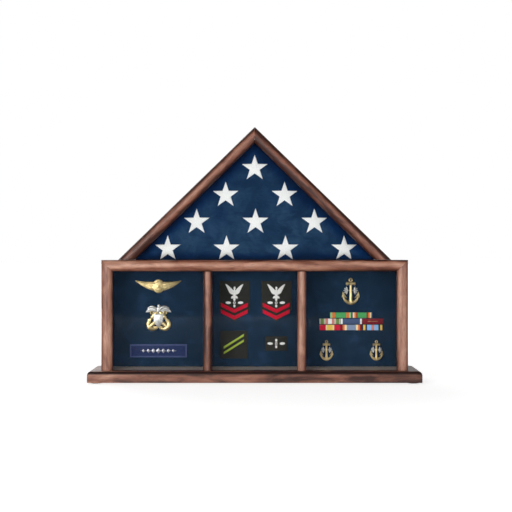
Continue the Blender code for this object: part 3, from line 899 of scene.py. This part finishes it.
def build_wings_badge(gold):
    """Two feathered wings on either side of a raised disc with a star."""
    centre, half, rear = spot_of("wings_badge")
    thick = 2 * half.y
    bm = bmesh.new()
    for side in (-1, 1):
        wing_of_badge(bm, centre, rear, thick, side)
    ellipsoid(bm, (centre.x, rear - thick * 0.5, centre.z), (0.0104, thick * 0.5, 0.0121), 0.0, 28, 12)
    torus(bm, (centre.x, rear - thick * 0.82, centre.z), 0.0078, 0.0007, 0.0, 0.86, 32, 8)
    star = [(centre.x + p.x, centre.z + p.y) for p in star_outline(0.0042)]
    slab(bm, star, rear - thick * 1.15, rear - thick * 0.6, ease=0.0003)
    finish_piece("gold_wings", bm, gold, BODY, "wings_badge")


def anchor_parts(bm, centre, size, rear, lean=0.0, depth=0.0012, sweep=0.60, stout=1.0):
    """An anchor of this half height, turned about Y by lean.

    sweep is the reach of its arms, and stout thickens its shank, stock and arms.
    """
    turn = Matrix.Rotation(lean, 3, "Y")
    wide = size * stout

    def at(x, z):
        spot = turn @ Vector((x * size, 0.0, z * size))
        return (centre[0] + spot.x, rear - depth, centre[1] + spot.z)

    flat = min(1.0, depth / (0.085 * wide))
    shank = [at(0, z) for z in (0.72, 0.30, -0.30, -0.88)]
    tube(bm, shank, [0.085 * wide, 0.095 * wide, 0.11 * wide, 0.14 * wide], 12, flat)
    torus(bm, at(0, 0.84), 0.11 * size, 0.048 * wide, lean)
    stock = [at(-0.36, 0.57), at(-0.32, 0.57), at(-0.17, 0.59), at(0, 0.60), at(0.17, 0.59),
             at(0.32, 0.57), at(0.36, 0.57)]
    tube(bm, stock, [part * wide for part in (0.08, 0.13, 0.11, 0.14, 0.11, 0.13, 0.08)], 10, flat)
    ellipsoid(bm, at(0, -0.84), (0.14 * wide, min(depth, 0.12 * wide), 0.145 * wide), lean, 16, 10)
    for side in (-1, 1):
        arm = []
        for step in range(9):
            angle = math.radians(-90 + side * (4 + 74 * step / 8))
            arm.append(at(sweep * math.cos(angle), -0.84 + sweep + sweep * math.sin(angle)))
        tube(bm, arm, [wide * (0.15 - 0.075 * step / 8) for step in range(9)], 10, flat)
        points = [(0.04, 0.30), (0.13, -0.14), (-0.07, -0.10), (-0.27, -0.20)]
        fluke = [at(side * (sweep + x), -0.84 + sweep + z) for x, z in points]
        slab(bm, [(spot[0], spot[2]) for spot in fluke], rear - depth * 1.6, rear - depth * 0.3,
             ease=0.0003)


def leaf_sprigs(bm, centre, size, rear):
    """A sprig of five plain leaves on each side of an anchor's shank, on one stalk behind it."""
    stalk = [(centre[0] + size * x, rear - 0.0011, centre[1] + size * 0.07) for x in (-0.24, 0.0, 0.24)]
    tube(bm, stalk, [size * 0.03] * 3, 8)
    for side in (-1, 1):
        for index in range(5):
            angle = math.radians(70 - 35 * index)
            spot = (centre[0] + side * size * (0.23 + 0.16 * math.cos(angle)),
                    rear - 0.0018 - 0.0002 * (index % 2),
                    centre[1] + size * (0.07 + 0.16 * math.sin(angle)))
            ellipsoid(bm, spot, (size * 0.16, size * 0.050, size * 0.064), -side * angle)
        ellipsoid(bm, (centre[0] + side * size * 0.22, rear - 0.0022, centre[1] + size * 0.07),
                  (size * 0.06, size * 0.05, size * 0.06), 0.0, 12, 8)


def build_anchor(node, name, gold, silver):
    centre, half, rear = spot_of(node)
    place = (centre.x, centre.z)
    bm = bmesh.new()
    anchor_parts(bm, place, half.z, rear, depth=half.y * 0.8, sweep=0.54)
    finish_piece(f"{name}_gold", bm, gold, BODY, node)
    bm = bmesh.new()
    leaf_sprigs(bm, place, half.z, rear)
    finish_piece(f"{name}_leaves", bm, silver, BODY)


# The right half of the crest's shield and its bird's right wing, from the crest's centre
SHIELD_HALF = [(0.0, 0.0065), (0.0040, 0.0055), (0.0084, 0.0070), (0.0082, -0.0050),
               (0.0060, -0.0115), (0.0, -0.0180)]
BIRD_WING = [(0.0015, 0.0095), (0.0040, 0.0155), (0.0090, 0.0190), (0.0140, 0.0184), (0.0188, 0.0142),
             (0.0224, 0.0085), (0.0175, 0.0088), (0.0105, 0.0096)]


def both_sides(half, x, z):
    """A closed outline from its right half, which runs from top to bottom."""
    right = [(x + a, z + b) for a, b in half]
    left = [(x - a, z + b) for a, b in reversed(half) if a > 0]
    return right + left


def crest_shield(bm, x, z, rear, thick):
    """The shield with its five upright bars."""
    slab(bm, both_sides(SHIELD_HALF, x, z), rear - thick * 1.05, rear - thick * 0.3, ease=0.0006)
    for stripe in range(5):
        left = x - 0.0066 + stripe * 0.0030
        foot = z - 0.0125 + 0.0011 * abs(stripe - 2)
        bar = rectangle(left, foot, left + 0.0013, z - 0.0010)
        slab(bm, bar, rear - thick * 1.22, rear - thick, ease=0.0002)


def crest_body(bm, x, z, rear, thick):
    """The bird's breast, head and beak."""
    ellipsoid(bm, (x, rear - thick * 0.62, z + 0.0130), (0.0034, thick * 0.42, 0.0060), 0.0, 16, 10)
    y = rear - thick * 0.75
    ellipsoid(bm, (x + 0.0004, y, z + 0.0196), (0.0023, thick * 0.30, 0.0031), 0.25)
    ellipsoid(bm, (x + 0.0027, y, z + 0.0198), (0.0016, thick * 0.14, 0.0007), 0.35, 10, 6)


def crest_wing(bm, x, z, rear, thick, side):
    """A raised wing: a plate, two rows of hanging feathers and a rounded leading edge."""
    outline = [(x + side * a, z + b) for a, b in BIRD_WING]
    slab(bm, outline, rear - thick * 0.50, rear - thick * 0.1, ease=0.0004)
    for row, (count, reach) in enumerate(((8, 0.0088), (6, 0.0060))):
        for index in range(count):
            share = index / (count - 1)
            root = Vector((0.0040 + 0.0100 * share, 0.0150 + 0.0030 * math.sin(share * math.pi)))
            lean = math.radians(84 - 50 * share)
            long = reach * (0.85 + 0.15 * share)
            spot = (x + side * (root.x + math.cos(lean) * long / 2),
                    rear - thick * (0.46 + 0.14 * row),
                    z + root.y - math.sin(lean) * long / 2)
            ellipsoid(bm, spot, (long / 2, thick * 0.18, 0.0014), side * lean, 10, 6)
    path = [(x + side * (0.0020 + 0.0170 * t), rear - thick * 0.66,
             z + 0.0135 + 0.0070 * math.sin(min(1.0, t * 1.3) * math.pi * 0.60) - 0.0045 * t * t)
            for t in (0.0, 0.2, 0.4, 0.6, 0.8, 1.0)]
    tube(bm, path, [0.0018, 0.0023, 0.0023, 0.0020, 0.0015, 0.0008])


def build_crest(gold, silver):
    """A generic bird over a shield, on two crossed anchors."""
    centre, half, rear = spot_of("crest_badge")
    x, z = centre.x, centre.z
    thick = 2 * half.y
    bm = bmesh.new()
    for side in (-1, 1):
        anchor_parts(bm, (x - side * 0.0022, z - 0.0048), 0.0218, rear, side * math.radians(47),
                     0.0010, 0.41, 1.35)
    finish_piece("crest_anchors", bm, gold, BODY, "crest_badge")
    bm = bmesh.new()
    crest_shield(bm, x, z, rear, thick)
    crest_body(bm, x, z, rear, thick)
    for side in (-1, 1):
        crest_wing(bm, x, z, rear, thick, side)
    finish_piece("crest_bird", bm, silver, BODY)


def plate_ornament(bm, centre, y):
    """A row of seven diamonds, smaller towards its ends, with a dot between each two."""
    pitch = 0.0086
    for step in range(-3, 4):
        size = 0.0048 - 0.0006 * abs(step)
        x = centre.x + step * pitch
        diamond = [(size * 0.8, 0.0), (0.0, size), (-size * 0.8, 0.0), (0.0, -size)]
        slab(bm, [(x + a, centre.z + b) for a, b in diamond], y - 0.0002, y + 0.0003, ease=0.0001)
    for side in (-1, 1):
        for step in range(4):
            ellipsoid(bm, (centre.x + side * (pitch / 2 + pitch * step), y, centre.z),
                      (0.0007, 0.0003, 0.0007), 0.0, 12, 6)


def build_name_plate():
    """A dark plate with a lighter rim and a plain engraved ornament."""
    centre, half, rear = spot_of("name_plate")
    front = rear - 2 * half.y
    rim = lacquer("plate_rim", (0.050, 0.068, 0.165))
    face = lacquer("plate_face", (0.014, 0.026, 0.090))
    line = metal("plate_silver", (0.55, 0.56, 0.62), 0.35, 0.7)
    bm = bmesh.new()
    slab(bm, corners_of(centre, half), front, rear, ease=0.0005)
    finish_piece("name_plate_rim", bm, rim, BODY, "name_plate")
    bm = bmesh.new()
    inner = corners_of(centre, half - Vector((PLATE_RIM, 0.0, PLATE_RIM)))
    slab(bm, inner, front - 0.0002, front + 0.0004, ease=0.0001)
    finish_piece("name_plate_face", bm, face, BODY)
    bm = bmesh.new()
    plate_ornament(bm, centre, front - 0.0003)
    finish_piece("name_plate_ornament", bm, line, BODY)


def winged_propeller(bm, x, z, front):
    """Two short upright blades and two level wings round an open hub, embroidered."""
    for side in (-1, 1):
        ellipsoid(bm, (x, front, z + side * 0.0056), (0.0021, 0.0006, 0.0027))
        ellipsoid(bm, (x + side * 0.0106, front, z), (0.0048, 0.0006, 0.0023), side * math.radians(-3),
                  18, 8)
    torus(bm, (x, front - 0.0002, z), 0.0017, 0.0006, 0.0, 1.0, 18, 6)


def embroidered_bird(bm, x, z, front):
    """A bird seen from the front with raised wings; z is the height of its breast."""
    for side in (-1, 1):
        for index in range(6):
            share = index / 5
            root = Vector((0.0012 + 0.0008 * share, 0.0010 - 0.0050 * share))
            tip = Vector((0.0155 - 0.0062 * share, 0.0137 - 0.0125 * share))
            feather(bm, (x, z), side, root, tip, front - 0.0001 * index, 0.0006, 0.0018)
        for spread in (0.9, 2.6, 4.2):
            ellipsoid(bm, (x + side * spread * 0.001, front, z - 0.0088), (0.0013, 0.0005, 0.0028),
                      side * math.radians(-7 * spread), 12, 6)
    ellipsoid(bm, (x, front - 0.0003, z - 0.0020), (0.0027, 0.0009, 0.0070), 0.0, 16, 10)
    ellipsoid(bm, (x + 0.0003, front - 0.0003, z + 0.0068), (0.0019, 0.0007, 0.0028))


def cloth_patch(node, name, outline, cloth):
    """A stiff cloth patch in a node's place; gives the y of its face."""
    _, half, rear = spot_of(node)
    front = rear - 2 * half.y
    bm = bmesh.new()
    slab(bm, outline, front, rear, ease=0.0006)
    finish_piece(name, bm, cloth, BODY, node)
    return front


def chevron(bm, x, z, half_width, rise, thick, face):
    outline = [(x - half_width, z + rise), (x, z), (x + half_width, z + rise),
               (x + half_width, z + rise - thick), (x, z - thick), (x - half_width, z + rise - thick)]
    slab(bm, outline, face - BRAID_RISE, face + BRAID_SINK, ease=0.0004)


def build_rating_badges(cloth, white, red):
    """Two dark patches with pointed feet, each with a bird, a winged propeller and two chevrons."""
    for name in ("left", "right"):
        node = f"rating_badge_{name}"
        centre, half, _ = spot_of(node)
        shoulder = shoulder_height(node)
        outline = [(centre.x - half.x, centre.z + half.z), (centre.x - half.x, shoulder),
                   (centre.x, centre.z - half.z), (centre.x + half.x, shoulder),
                   (centre.x + half.x, centre.z + half.z)]
        front = cloth_patch(node, f"rating_cloth_{name}", outline, cloth)
        x = centre.x + MOTIF_SHIFT
        bm = bmesh.new()
        embroidered_bird(bm, x, centre.z + 0.0160, front - STITCH_RISE)
        winged_propeller(bm, x, centre.z - 0.0024, front - STITCH_RISE)
        finish_piece(f"rating_bird_{name}", bm, white, BODY)
        bm = bmesh.new()
        for top in (-0.0136, -0.0250):
            chevron(bm, x, centre.z + top, 0.0232, 0.0112, 0.0068, front)
        finish_piece(f"rating_chevrons_{name}", bm, red, BODY)


def shoulder_height(node):
    """Height of the corners where a badge's straight sides meet its pointed foot."""
    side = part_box(node)[1].x
    return min(vert.co.z for vert in NODES[node].data.vertices if vert.co.x > side - 0.0005)


def build_patches(cloth, white, lime):
    """A patch with two diagonal stripes and a smaller one with a winged propeller."""
    centre, half, _ = spot_of("stripe_patch")
    front = cloth_patch("stripe_patch", "stripe_patch_cloth", corners_of(centre, half), cloth)
    bm = bmesh.new()
    for offset in (0.0058, -0.0036):
        diagonal_bar(bm, centre.x + MOTIF_SHIFT, centre.z + offset, 0.0174, math.radians(32.0), 0.0017,
                     front)
    finish_piece("service_stripes", bm, lime, BODY)
    centre, half, _ = spot_of("propeller_patch")
    front = cloth_patch("propeller_patch", "propeller_patch_cloth", corners_of(centre, half), cloth)
    bm = bmesh.new()
    winged_propeller(bm, centre.x, centre.z, front - STITCH_RISE)
    finish_piece("propeller_emblem", bm, white, BODY)


def diagonal_bar(bm, x, z, half_width, slope, half_thick, face):
    rise = half_width * math.tan(slope)
    thick = half_thick / math.cos(slope)
    outline = [(x - half_width, z - rise - thick), (x + half_width, z + rise - thick),
               (x + half_width, z + rise + thick), (x - half_width, z - rise + thick)]
    slab(bm, outline, face - BRAID_RISE, face + BRAID_SINK, ease=0.0005)


# --- ribbon bars ---

RIBBON_GAP = 0.0003            # left free at each end of a bar

GREEN = (0.070, 0.360, 0.110)
MINT = (0.300, 0.620, 0.250)
ORANGE = (0.800, 0.170, 0.040)
YELLOW = (0.860, 0.560, 0.090)
MAROON = (0.200, 0.006, 0.016)
OLIVE = (0.160, 0.260, 0.060)
PALE = (0.550, 0.560, 0.440)
PINK = (0.680, 0.230, 0.190)
SLATE = (0.050, 0.085, 0.190)
WHITE = (0.900, 0.900, 0.900)
RED = (0.650, 0.004, 0.035)
CREAM = (0.880, 0.720, 0.400)
STEEL = (0.230, 0.300, 0.450)
NAVY = (0.016, 0.030, 0.080)
SKY = (0.250, 0.500, 0.860)

# Each ribbon's stripes from its left edge to its middle: (width share, colour)
RIBBONS = {
    "upper": [
        [(2.0, MINT), (2.6, ORANGE), (5.4, GREEN)],
        [(1.2, SLATE), (1.5, CREAM), (1.9, ORANGE), (1.1, MAROON), (4.3, GREEN)],
    ],
    "middle": [
        [(1.2, PALE), (3.0, OLIVE), (1.6, PALE), (2.4, PINK), (1.8, WHITE)],
        [(1.7, WHITE), (8.3, SLATE)],
        [(10.0, MAROON)],
    ],
    "lower": [
        [(6.0, RED), (1.4, CREAM), (2.6, YELLOW)],
        [(1.8, MAROON), (1.8, ORANGE), (2.0, CREAM), (4.4, STEEL)],
        [(0.9, NAVY), (2.1, YELLOW), (1.6, NAVY), (4.0, SKY), (1.4, PINK)],
    ],
}


def ribbon_cloth(name, centre_x, half_width, stripes):
    """Ribbed silk with mirrored stripes across a bar."""
    look, tree, shader, coords = new_look(name, stripes[0][1], 0.55)
    parts = split(tree, coords)
    along = maths(tree, "ABSOLUTE", maths(tree, "SUBTRACT", parts["X"], centre_x))
    share = maths(tree, "SUBTRACT", 1.0, maths(tree, "DIVIDE", along, half_width))
    total = sum(width for width, _ in stripes)
    stops = []
    start = 0.0
    for width, colour in stripes:
        stops.append((start / total, colour))
        start += width
    colour = ramp(tree, share, stops, "CONSTANT")
    ribs = threads_at(tree, parts["Z"], RIBBON_PITCH)
    fuzz = noise_at(tree, coords, 900.0, 3.0)
    shade = weighted(tree, 0.94, (ribs, 0.06), (fuzz, 0.25))
    tint = add(tree, "CombineColor", {0: shade, 1: shade, 2: shade}).outputs[0]
    feed(tree, shader, {"Base Color": multiplied(tree, colour, tint), "Specular IOR Level": 0.2})
    bump(tree, shader, ribs, 0.0001, 0.5)
    return look


def build_ribbons():
    for row, designs in RIBBONS.items():
        node = f"ribbon_row_{row}"
        low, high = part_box(node)
        width = (high.x - low.x) / len(designs)
        for index, stripes in enumerate(designs):
            left = low.x + width * index + RIBBON_GAP
            right = low.x + width * (index + 1) - RIBBON_GAP
            look = ribbon_cloth(f"ribbon_{row}_{index + 1}", (left + right) / 2, (right - left) / 2, stripes)
            bm = bmesh.new()
            slab(bm, rectangle(left, low.z, right, high.z), low.y, high.y, ease=0.0008, segments=3)
            finish_piece(f"ribbon_bar_{row}_{index + 1}", bm, look, BODY, node)


def build_ribbon_clasp():
    """A small bronze clasp across the last ribbon of the middle row."""
    low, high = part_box("ribbon_row_middle")
    x = high.x - (high.x - low.x) / 6
    z = (low.z + high.z) / 2
    half_width = 0.0085
    half_height = 0.0007
    bm = bmesh.new()
    slab(bm, rectangle(x - half_width, z - half_height, x + half_width, z + half_height),
         low.y - 0.0006, low.y + 0.0004, ease=0.0003)
    finish_piece("ribbon_clasp", bm, metal("bronze", (0.72, 0.36, 0.18), 0.4, 0.6), BODY)


def build_insignia():
    gold = metal("gilt", (1.0, 0.79, 0.40), 0.36, 0.60)
    silver = metal("silver_plate", (0.90, 0.90, 0.89), 0.40, 0.75)
    cloth = serge()
    white = embroidery("white_thread", (0.97, 0.97, 0.95), 0.6)
    red = embroidery("red_thread", (0.66, 0.002, 0.030), 0.0)
    lime = embroidery("lime_thread", (0.46, 0.60, 0.07), 0.6)
    build_wings_badge(gold)
    build_crest(gold, silver)
    build_name_plate()
    build_rating_badges(cloth, white, red)
    build_patches(cloth, white, lime)
    for size in ("large", "left", "right"):
        build_anchor(f"anchor_{size}", f"{size}_anchor", gold, silver)
    build_ribbons()
    build_ribbon_clasp()


# --- build ---

bpy.context.scene.view_settings.view_transform = "Standard"
build_camera()
build_studio()
dress_woodwork()
build_glue_line()
dress_fittings()
build_velvet_boards()
build_flag()
build_insignia()
